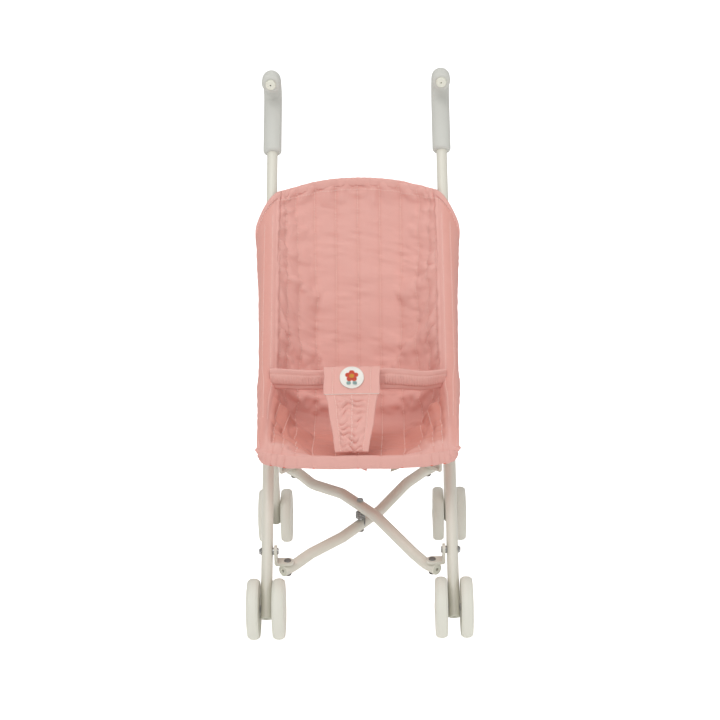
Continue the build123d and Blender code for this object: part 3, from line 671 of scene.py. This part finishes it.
class STROLLER_OT_sling(bpy.types.Operator):
    """Make the quilted sling, its flap and its stitched lines"""
    bl_idname = "stroller.sling"
    bl_label = "Quilted sling"

    def execute(self, context):
        s = context.scene.stroller_sizes
        mats = finishes()
        net = sling_net()
        side = steps(SIDE_STEPS)
        columns = np.concatenate([-side[:0:-1], side])
        rows = steps(ROW_STEPS)
        grid = lattice(net, rows, columns + MIDDLE)
        grid = settled(net, grid, rows, columns, s.slack)
        normal = normals_of(grid)
        c, r = np.meshgrid(columns, rows)
        out = np.abs(c)
        inside = fall(out, 6.2, 0.6)
        calm = fall(out, 6.0, 1.5)
        calm = calm * calm * (3 - 2 * calm)
        body = rise(r, 2.6, 1.2)

        # padding: thin at the stitched lines, one at every net column, and thick between
        off_seam = np.where(out > CREASE, 0.6, np.abs((out + 0.5) % 1 - 0.5) * 2)
        puff = np.sin(np.clip(off_seam, 0, 1) * pi / 2) ** 0.8
        half = s.seam_half + (s.quilt_puff - s.seam_half) * puff * inside * (0.35 + 0.65 * body)
        half = np.where(out > CREASE, 1.0 + 0.25 * rise(out, 8, 1.5), half)

        # puckers across the seams and broad tired folds, both in mm along the cloth
        middle = np.linalg.norm(np.diff(grid[:, grid.shape[1] // 2], axis=0), axis=1)
        along = np.concatenate([[0], np.cumsum(middle)])[:, None].repeat(len(columns), 1)
        width = c * 24.0
        tilt = along + 0.16 * width
        fine = wander(width / 17, tilt / 4.6, 3) * 0.7 + wander(width / 9, tilt / 3.1 + 40, 5) * 0.4
        pull = np.clip(wander(width / 30 + 7, along / 26, 8) * 0.9 + 0.55, 0.1, 1.3)
        broad = wander(width / 34, along / 15 + 11, 12)
        wrinkles = s.rumple * (fine * pull * (0.45 + 0.55 * (1 - puff)) + 0.75 * broad)
        wrinkles = wrinkles * calm * (0.25 + 0.75 * body)
        low_sides = bell(out, 4.6, 1.5) * fall(r, 8.2, 2) * body
        side_folds = wander(c * 2.4 + 3, r * 0.8, 21) * 1.6 * low_sides
        corner = bell(out, 4.75 + 0.28 * (TOP_ROW - r), 0.16) * rise(r, 10.6, 1.4)
        flange = rise(out, 6.3, 0.8) * body
        ripple = flange * wander(np.sign(c) * 9 + c * 0.4, along / 6.5, 31) * 0.3
        roll = bell(r, 1.28, 0.14) * 0.35
        move = wrinkles + side_folds - 2.2 * corner + ripple - roll
        grid = grid + normal * move[..., None]

        # painted shade, a darker and more saturated dye: along the seams' dips, in the crease by
        # the tubes, on the doubled wings and in the seat pan behind the belt
        pan = fall(r, 7.4, 1.2) * rise(r, 3.2, 0.8) * fall(out, 6.4, 0.8)
        painted_shade = np.maximum.reduce([fall(off_seam, 0.22, 0.22) * inside, 0.8 * corner,
                                  1.1 * flange, 2.3 * pan])
        Sling.grid, Sling.normal, Sling.half = grid, normals_of(grid), half
        Sling.rows, Sling.columns = rows, columns
        sling = cloth_piece("sling_cloth", grid, half, mats["pink_cotton"], painted_shade)
        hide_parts("seat_sling")
        soft(sling)

        run, edge = np.linspace(3.2, TOP_ROW - 0.18, 260), np.linspace(5.0, 12.9, 240)
        lines = [Sling.on(run, column, 0.15) for column in range(-5, 6)]
        lines += [Sling.on(edge, column, 0.2) for column in (-6.55, -7.7, 6.55, 7.7)]
        lines.append(Sling.on(TOP_ROW - 0.42, np.linspace(-8.8, 8.8, 240), 0.2))
        stitched("sling_stitching", lines, mats["thread"])
        return {"FINISHED"}


class STROLLER_OT_lip(bpy.types.Operator):
    """Make the padded front lip, its tacks and the corner of cloth below it"""
    bl_idname = "stroller.lip"
    bl_label = "Front lip"

    def execute(self, context):
        mats = finishes()
        c = np.linspace(-9.9, 9.9, 361)
        path = Sling.on(1.05, c) + np.array((0, -1.3, 0.6))
        path[:, 2] += 0.6 * wander(c * 0.8, c * 0 + 3, 61)
        path[:, 1] += 0.6 * wander(c * 1.1, c * 0 + 9, 62)
        taper = np.clip((10.2 - np.abs(c)) / 2.6, 0.1, 1) ** 0.6
        turn = np.linspace(0, 2 * pi, 26, endpoint=False)
        seams = bell(np.abs((np.abs(c) + 0.5) % 1 - 0.5), 0, 0.09)
        thick = (3.0 + 0.3 * wander(c * 1.7, c * 0 + 5, 63)) * (1 - 0.2 * seams) * taper
        tall = (6.7 + 0.25 * wander(c * 1.3, c * 0 + 7, 65)) * taper
        rings = np.stack([np.cos(turn)[None] * thick[:, None],
                          np.sin(turn)[None] * tall[:, None]], 2)
        roll = swept("lip_roll", path, rings, mats["pink_binding"])
        soft(roll)

        spots = [path[np.argmin(np.abs(c - column))] + np.array((0, -1.5, -5.9))
                 for column in (-6, -4, -2, 0, 2, 4, 6)]
        tacks = [np.array([spot + (x, 0, 0) for x in (-0.7, 0.0, 0.7)]) for spot in spots]
        stitched("flap_tacks", tacks, mats["coral_thread"], pitch=0.5,
                 length=1.1, thickness=0.9)

        hem = Sling.on(0.3, np.linspace(-9.3, 9.3, 200), 0.15)[100]
        a, b, d, e = (hem + np.array(v, float) for v in
                      ((-1, 1.5, 0), (9, 1.5, 0.4), (7.5, 1.8, -5.2), (3, 1.8, -3.0)))
        v, u = np.meshgrid(np.linspace(0, 1, 9), np.linspace(0, 1, 9), indexing="ij")
        u, v = u[..., None], v[..., None]
        quad = (a * (1 - u) + b * u) * (1 - v) + (e * (1 - u) + d * u) * v
        soft(cloth_piece("flap_corner", quad[::-1], np.full((9, 9), 0.5),
                         mats["pink_binding"]))
        return {"FINISHED"}


class STROLLER_OT_loops(bpy.types.Operator):
    """Sew the loops that hold the sling to the long tubes"""
    bl_idname = "stroller.loops"
    bl_label = "Tube loops"

    def execute(self, context):
        mats = finishes()
        for name, side in (("left", -1), ("right", 1)):
            turn = np.linspace(0, 2 * pi, 40)
            along = np.linspace(431, 447, 12)
            T, A = np.meshgrid(turn, along)
            radius = 7.4 + 0.25 * wander(T * 2, A * 0.4, 70)
            grid = tube_point(side * TUBE_X + np.cos(T) * radius, A + 0.8 * np.sin(T),
                              np.sin(T) * radius)
            loop = cloth_piece(f"tube_loop_{name}", grid, np.full(T.shape, 0.6),
                               mats["pink_binding"])
            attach(loop, f"{name}_frame")
        return {"FINISHED"}


def edge_band(name, line, inward, normal, profile, material):
    """A rounded band folded over an edge; profile is (inward, outward from the cloth), mm."""
    profile = np.array(profile, float)
    grid = (line[:, None] + inward[:, None] * profile[None, :, :1]
            + normal[:, None] * profile[None, :, 1:])
    piece = mesh_piece(name, grid, tube_faces(*grid.shape[:2], flip=True), material)
    rounding = piece.modifiers.new("round", "SUBSURF")
    rounding.levels = rounding.render_levels = 1
    graph = bpy.context.evaluated_depsgraph_get()
    graph.update()
    mesh = bpy.data.meshes.new_from_object(piece.evaluated_get(graph))
    piece.modifiers.clear()
    piece.data = mesh
    mesh.shade_smooth()
    return soft(piece)


class STROLLER_OT_bindings(bpy.types.Operator):
    """Bind the sling's top edge and the wings' long edges"""
    bl_idname = "stroller.bindings"
    bl_label = "Bindings"

    def execute(self, context):
        binding = finishes()["pink_binding"]
        g, n = Sling.grid, Sling.normal
        inward = g[-9] - g[-1]
        inward /= np.linalg.norm(inward, axis=1, keepdims=True)
        puckers = 1 + 0.10 * np.sin(np.arange(len(inward)) * 1.9)
        profile = [(8.0, 1.6), (7.4, 2.5), (4.5, 2.75), (1.2, 2.5), (-1.0, 1.5), (-1.6, 0),
                   (-1.0, -1.5), (1.2, -2.5), (4.5, -2.7), (7.4, -2.4), (8.0, -1.5)]
        edge_band("top_binding", g[-1], inward * puckers[:, None], n[-2], profile, binding)

        rows = np.searchsorted(Sling.rows, 2.4)
        profile = [(3.6, 1.3), (3.0, 2.0), (1.0, 2.2), (-1.0, 1.4), (-1.5, 0), (-1.0, -1.4),
                   (1.0, -2.1), (3.0, -1.9), (3.6, -1.2)]
        for side, edge, inner, outline in (("left", 0, 3, profile),
                                           ("right", -1, -4, profile[::-1])):
            line = g[rows:, edge]
            inward = g[rows:, inner] - line
            inward /= np.linalg.norm(inward, axis=1, keepdims=True)
            edge_band(f"wing_binding_{side}", line, inward, n[rows:, edge], outline, binding)
        return {"FINISHED"}


class STROLLER_OT_belt(bpy.types.Operator):
    """Make the waist belt with its gathered, stitched middle"""
    bl_idname = "stroller.belt"
    bl_label = "Waist belt"

    def execute(self, context):
        s = context.scene.stroller_sizes
        mats = finishes()
        low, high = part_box("waist_belt")
        reach = high[0] / MM + 10.5
        front = low[1] / MM
        level = (low[2] + high[2]) / 2 / MM
        A, C = np.meshgrid(np.linspace(-1, 1, 260), np.linspace(-1, 1, 25))
        width = s.belt_width / 2 * (1 - 0.05 * np.cos(A * 5 + 1))
        sag = 4.2 * bell(A, 0.74, 0.26) + 1.2 * bell(A, -0.55, 0.3)
        y = front + 1.5 + 33 * A ** 2 + 1.6 * wander(A * 4, C * 0.8, 41)
        gather = np.clip(1 - np.abs(C / 0.52) ** 6, 0, 1) * (np.abs(A) > 0.3)
        ribs = np.sin(A * 210 + 2.2 * wander(A * 18, C * 2, 43))
        y = y - gather * (0.30 * ribs + 0.9)
        y = y + 0.7 * wander(A * 9 + 3, C * 1.4, 44)
        grid = np.stack([A * reach, y, level + C * width - sag - 8.5 * A ** 2], -1)[::-1]
        off_middle = np.abs(C)[::-1]
        # The stitched lines are thinner, and painted darker as shade in their dips.
        seam_and_shade = fall(np.abs(off_middle - 0.5), 0.1, 0.1)
        half = 1.0 + 0.35 * (1 - off_middle ** 4) - 0.45 * seam_and_shade
        belt = cloth_piece("waist_belt_cloth", grid, half, mats["pink_cotton"], seam_and_shade)
        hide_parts("waist_belt")
        soft(belt)
        face = grid + normals_of(grid) * (half[..., None] + 0.15)
        lines = []
        for row in (6, 12, 18):
            x = face[row, :, 0]
            lines += [face[row][x < -24], face[row][x > 22]]
        stitched("belt_stitching", lines, mats["thread"], pitch=2.8, length=1.6)
        return {"FINISHED"}


class STROLLER_OT_crotch_strap(bpy.types.Operator):
    """Make the crotch strap: plain block, side bands and a shirred middle"""
    bl_idname = "stroller.crotch_strap"
    bl_label = "Crotch strap"

    def execute(self, context):
        mats = finishes()
        low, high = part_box("crotch_strap")
        middle = (low[0] + high[0]) / 2 / MM
        top = high[2] / MM
        belt_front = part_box("waist_belt")[0][1] / MM
        foot = np.array((middle, FRONT_Y + 35.0, top - 71.0))
        head = np.array((middle, belt_front - 2.6, top - 0.5))
        side = np.array((1.0, 0, 0))
        # U goes across the strap from -1 to 1, V up it from 0 to 1; the block starts at 0.66
        U, V = np.meshgrid(np.linspace(-1, 1, 61), np.linspace(0, 1, 190))
        share = np.interp(V, (0, 0.66, 0.68, 1), (17.0, 26.6, 29.2, 29.6))
        run = head - foot
        length = np.linalg.norm(run)
        way = run / length
        out = np.cross(way, side)
        out *= -1 if out[1] > 0 else 1
        shirred = fall(np.abs(U), 0.62, 0.08) * fall(V, 0.64, 0.05)
        across = V * 34 + 0.9 * np.sin(U * 3 + V * 9) + 0.7 * np.sin(U * 9.5)
        gathers = (wander(U * 3.2, across * 0.75, 51) * 1.6
                   + np.sin(across * 2.4 + wander(U * 2, V * 8, 52) * 2) * 0.85)
        lift = shirred * (gathers + 0.9 * np.cos(U * pi / 1.24)) + 0.35 * wander(U * 2, V * 9, 53)
        lift = lift - 3.0 * np.sin(np.clip(V / 0.66, 0, 1) * pi) * 0.6
        lift = lift + 0.8 * np.cos(U * pi / 2) * (V > 0.66)
        grid = (foot + way * (V * length)[..., None]
                + side * (U * share + 0.6 * wander(V * 9, U, 54))[..., None]
                + out * lift[..., None])
        # The stitched lines are thinner, and painted darker as shade in their dips.
        seam_and_shade = np.maximum(fall(np.abs(np.abs(U) - 0.66), 0.05, 0.05),
                          fall(np.abs(V - 0.665), 0.012, 0.012))
        half = 1.15 - 0.45 * seam_and_shade
        strap = cloth_piece("crotch_strap_cloth", grid, half, mats["pink_cotton"], seam_and_shade)
        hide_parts("crotch_strap")
        soft(strap)
        face = grid + normals_of(grid) * (half[..., None] + 0.15)
        lines = [face[4:124, 10], face[4:124, 50], face[130:186, 10], face[130:186, 50],
                 face[5:124, 30]]
        stitched("strap_stitching", lines, mats["thread"], pitch=2.8, length=1.8)
        stitched("strap_cross_stitch", [face[127, 1:60]], mats["label_cloth"],
                 pitch=1.5, length=1.5, thickness=0.8)

        base = foot + way * (length - 13.5) + out * 2.3
        self.add_label(mats, base, side, way, out, context.scene.stroller_sizes.label_radius)
        return {"FINISHED"}

    @staticmethod
    def add_label(mats, base, side, up, out, radius):
        """The round label: a disc with a raised rim, its stitches and a stitched flower."""
        turn = np.linspace(0, 2 * pi, 72, endpoint=False)
        rings = [(1.0, 0.0), (1.0, 0.8), (0.985, 1.15), (0.95, 1.25), (0.91, 1.0), (0.88, 0.95),
                 (0.6, 1.1), (0.3, 1.2)]

        def round_at(angle, share, height):
            return (base + side * cos(angle) * radius * share + up * sin(angle) * radius * share
                    + out * height)

        points = [round_at(t, share, height) for share, height in rings for t in turn]
        points += [base + out * 1.2, base]
        count, last = len(turn), (len(rings) - 1) * len(turn)
        faces = tube_faces(len(rings), count, flip=True)[:-2]
        faces += [(last + k, last + (k + 1) % count, len(points) - 2) for k in range(count)]
        faces += [((k + 1) % count, k, len(points) - 1) for k in range(count)]
        label = mesh_piece("label_disc", points, faces, mats["label_cloth"])
        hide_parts("round_label")
        soft(label)
        ring = [round_at(t, 0.915, 1.1) for t in np.linspace(0, 2 * pi, 90)]
        stitched("label_stitching", [np.array(ring)], mats["label_cloth"], pitch=1.7,
                 length=1.2, thickness=0.5)
        petals = [("coral", 4.1 * cos(t), 1.4 + 4.1 * sin(t), 2.5)
                  for t in np.radians((90, 162, 234, 306, 18))]
        spots = petals + [("mustard", 0.0, 1.4, 2.1), ("teal", -3.2, -6.6, 1.9),
                          ("teal", 3.2, -6.6, 1.9)]
        for shade in ("coral", "mustard", "teal"):
            rows = []
            for _, x, y, size in (spot for spot in spots if spot[0] == shade):
                lift = 1.3 if shade == "coral" else 1.6
                for level in np.arange(-size * 0.9, size * 0.95, 0.55):
                    wide = (size ** 2 - level ** 2) ** 0.5
                    rows.append(np.array([base + side * (x + k) + up * (y + level) + out * lift
                                          for k in np.linspace(-wide, wide, 9)]))
            stitched(f"label_flower_{shade}", rows, mats[f"{shade}_thread"], pitch=0.7,
                     length=1.0, thickness=0.62)


class STROLLER_OT_strap_tail(bpy.types.Operator):
    """Make the short webbing tail under the seat"""
    bl_idname = "stroller.strap_tail"
    bl_label = "Webbing tail"

    def execute(self, context):
        mats = finishes()
        low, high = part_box("strap_tail")
        x = (low[0] + high[0]) / 2 / MM
        y = (low[1] + high[1]) / 2 / MM
        v, u = np.linspace(0, 1, 40), np.linspace(-1, 1, 19)
        U, V = np.meshgrid(u, v)
        ribs = 0.14 * np.sin(U * 28)
        grid = np.stack([x - 4.0 * V + U * 4.4, y + 2.5 * V + 1.0 * V * V + ribs,
                         high[2] / MM + 2 - V * (16.5 - 1.6 * U)], -1)
        tail = cloth_piece("webbing_tail", grid[::-1], np.full(U.shape, 0.6),
                           mats["webbing_weave"])
        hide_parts("strap_tail")
        soft(tail)
        return {"FINISHED"}


# ------------------------------------------------------------------ frame
FINISH_OF_SLOT = {"frame_paint": "powder_coat", "zinc": "zinc_plate", "dark_steel": "dark_steel",
                  "plug": "cap_plastic", "foam": "handle_foam", "wheel": "wheel_plastic",
                  "pink_fabric": "pink_cotton", "label": "label_cloth",
                  "webbing": "webbing_weave"}


class STROLLER_OT_frame(bpy.types.Operator):
    """Give every CAD piece its paint, metal, foam or plastic"""
    bl_idname = "stroller.frame"
    bl_label = "Frame finishes"

    def execute(self, context):
        mats = finishes()
        slots = {row["node"]: row["material_slot"] for row in frame["record"]["subparts"]}
        for node, piece in frame["nodes"].items():
            for slot in piece.material_slots:
                slot.link = "OBJECT"
                slot.material = mats[FINISH_OF_SLOT[slots[node]]]
        return {"FINISHED"}


# ------------------------------------------------------------------ studio
class STROLLER_OT_studio(bpy.types.Operator):
    """Pale floor, soft lights and the camera"""
    bl_idname = "stroller.studio"
    bl_label = "Studio"

    def execute(self, context):
        scene = context.scene
        reach = 40.0
        mesh = bpy.data.meshes.new("floor")
        mesh.from_pydata([(-reach, -reach, -0.0004), (reach, -reach, -0.0004),
                          (reach, reach, -0.0004), (-reach, reach, -0.0004)], [], [(0, 1, 2, 3)])
        floor = bpy.data.objects.new("floor", mesh)
        scene.collection.objects.link(floor)
        material = bpy.data.materials.new("floor_paint")
        material.use_nodes = True
        shader = material.node_tree.nodes["Principled BSDF"]
        shader.inputs["Base Color"].default_value = scene.stroller_colours.floor
        shader.inputs["Roughness"].default_value = 0.9
        shader.inputs["Specular IOR Level"].default_value = 0.1
        shader.inputs["Emission Color"].default_value = (1, 1, 1, 1)
        seen = material.node_tree.nodes.new("ShaderNodeLightPath")
        shine = math_node(material.node_tree, "MULTIPLY", seen.outputs["Is Camera Ray"], 0.7)
        shine = math_node(material.node_tree, "ADD", shine, 0.22)
        material.node_tree.links.new(shine, shader.inputs["Emission Strength"])
        mesh.materials.append(material)
        world = scene.world or bpy.data.worlds.new("studio")
        scene.world = world
        world.use_nodes = True
        sky = world.node_tree.nodes["Background"]
        sky.inputs["Color"].default_value = (1, 1, 1, 1)
        rays = world.node_tree.nodes.new("ShaderNodeLightPath")
        glow = math_node(world.node_tree, "MULTIPLY", rays.outputs["Is Camera Ray"], 0.53)
        glow = math_node(world.node_tree, "ADD", glow, 0.47)
        world.node_tree.links.new(glow, sky.inputs["Strength"])
        for name, place, size, power in (("key", (-0.7, -1.5, 2.3), 1.4, 21.0),
                                         ("fill", (1.2, -1.6, 1.7), 1.4, 7.5),
                                         ("top", (0.0, 0.3, 2.4), 1.8, 10.0)):
            lamp = bpy.data.lights.new(name, "AREA")
            lamp.shape, lamp.size, lamp.energy = "DISK", size, power
            light = bpy.data.objects.new(name, lamp)
            light.location = place
            aim = Vector((0, 0, 0.25)) - Vector(place)
            light.rotation_euler = aim.to_track_quat("-Z", "Y").to_euler()
            scene.collection.objects.link(light)
        scene.view_settings.view_transform = "Standard"
        camera_data = bpy.data.cameras.new("camera")
        camera_data.lens = 82.35
        camera_data.sensor_width = 36.0
        camera = bpy.data.objects.new("camera", camera_data)
        camera.matrix_world = (Matrix.Translation((0.0285, FRONT_Y * MM - 1.541, 0.752))
                               @ Matrix.Rotation(radians(0.90), 4, "Z")
                               @ Matrix.Rotation(radians(90 - 16.5), 4, "X")
                               @ Matrix.Rotation(radians(-1.0), 4, "Z"))
        scene.collection.objects.link(camera)
        scene.camera = camera
        return {"FINISHED"}


OPERATORS = (STROLLER_OT_frame, STROLLER_OT_sling, STROLLER_OT_lip, STROLLER_OT_bindings,
             STROLLER_OT_loops, STROLLER_OT_belt, STROLLER_OT_crotch_strap,
             STROLLER_OT_strap_tail, STROLLER_OT_studio)


class STROLLER_PT_panel(bpy.types.Panel):
    """Lists the stroller's pieces, sizes and colours"""
    bl_idname = "STROLLER_PT_panel"
    bl_label = "Doll stroller"
    bl_space_type = "VIEW_3D"
    bl_region_type = "UI"
    bl_category = "Stroller"

    def draw(self, context):
        for operator in OPERATORS:
            self.layout.operator(operator.bl_idname)
        for group in (context.scene.stroller_sizes, context.scene.stroller_colours):
            box = self.layout.box()
            for key in group.__annotations__:
                box.prop(group, key)


CLASSES = (StrollerColours, StrollerSizes) + OPERATORS + (STROLLER_PT_panel,)


def register():
    for item in CLASSES:
        bpy.utils.register_class(item)
    bpy.types.Scene.stroller_colours = bpy.props.PointerProperty(type=StrollerColours)
    bpy.types.Scene.stroller_sizes = bpy.props.PointerProperty(type=StrollerSizes)


def unregister():
    del bpy.types.Scene.stroller_sizes
    del bpy.types.Scene.stroller_colours
    for item in reversed(CLASSES):
        bpy.utils.unregister_class(item)


def main():
    register()
    bpy.ops.stroller.frame()
    bpy.ops.stroller.sling()
    bpy.ops.stroller.lip()
    bpy.ops.stroller.bindings()
    bpy.ops.stroller.loops()
    bpy.ops.stroller.belt()
    bpy.ops.stroller.crotch_strap()
    bpy.ops.stroller.strap_tail()
    bpy.ops.stroller.studio()


if __name__ == "__main__":
    main()
